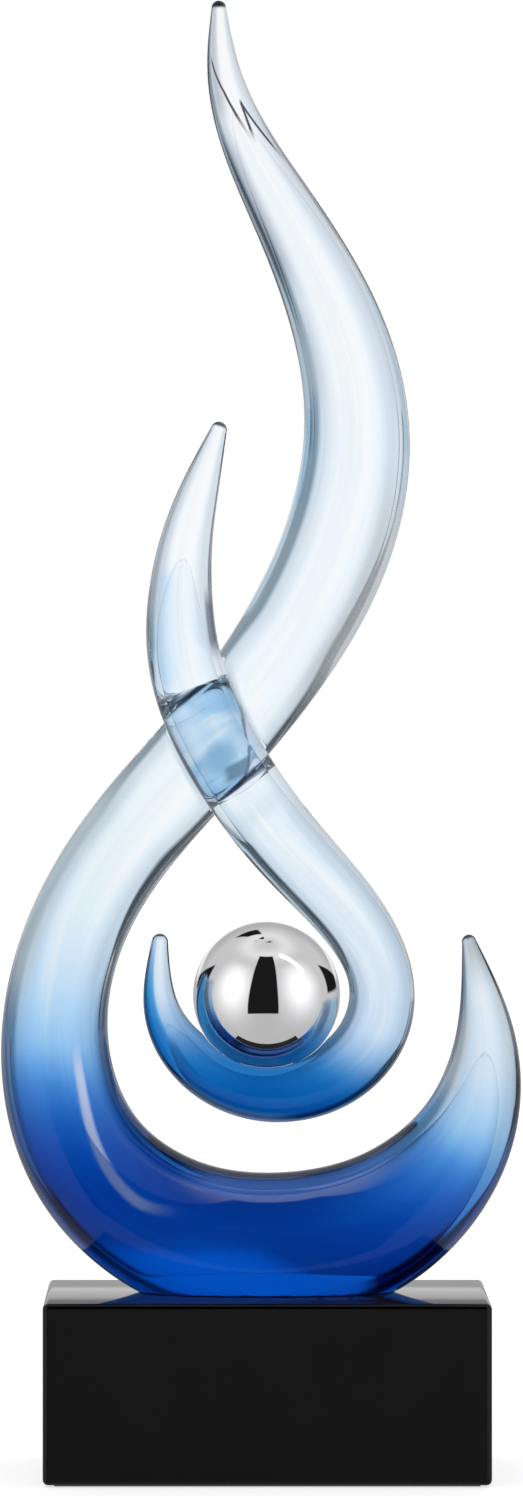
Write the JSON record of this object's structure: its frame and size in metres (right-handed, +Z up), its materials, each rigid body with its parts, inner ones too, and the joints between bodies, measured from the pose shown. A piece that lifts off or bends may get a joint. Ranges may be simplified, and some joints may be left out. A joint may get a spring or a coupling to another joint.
{
  "type": "glass wave sculpture",
  "caption": "Tall free-form glass sculpture of crossed waves fading from clear to blue, with a polished steel ball cradled in the inner hook, on a black block base.",
  "frame": {"origin": "centre of the base underside, on the surface the sculpture stands on", "axes": "+Z up, +X to the viewer's right, front faces -Y"},
  "size_m": [0.1413, 0.06, 0.4],
  "materials": {
    "black_lacquer": "high gloss black",
    "felt": "thin felt",
    "adhesive": "clear cured adhesive",
    "outer_glass": "fire polished glass, clear at the top and blue at the foot",
    "outer_tint": "tinted inner glass, pale at the top and deep blue at the foot",
    "inner_glass": "fire polished glass, clear at the top and blue at the cradle",
    "inner_tint": "tinted inner glass, pale at the top and blue at the cradle",
    "polished_steel": "mirror polished stainless steel"
  },
  "bodies": {
    "root": {"base_block": "black_lacquer", "base_pad": "felt", "foot_bond": "adhesive", "outer_wave_casing": "outer_glass", "outer_wave_core": "outer_tint", "inner_wave_casing": "inner_glass", "inner_wave_core": "inner_tint", "crossing_bond": "adhesive", "ball_shell": "polished_steel", "ball_bond": "adhesive"}
  },
  "joints": []
}
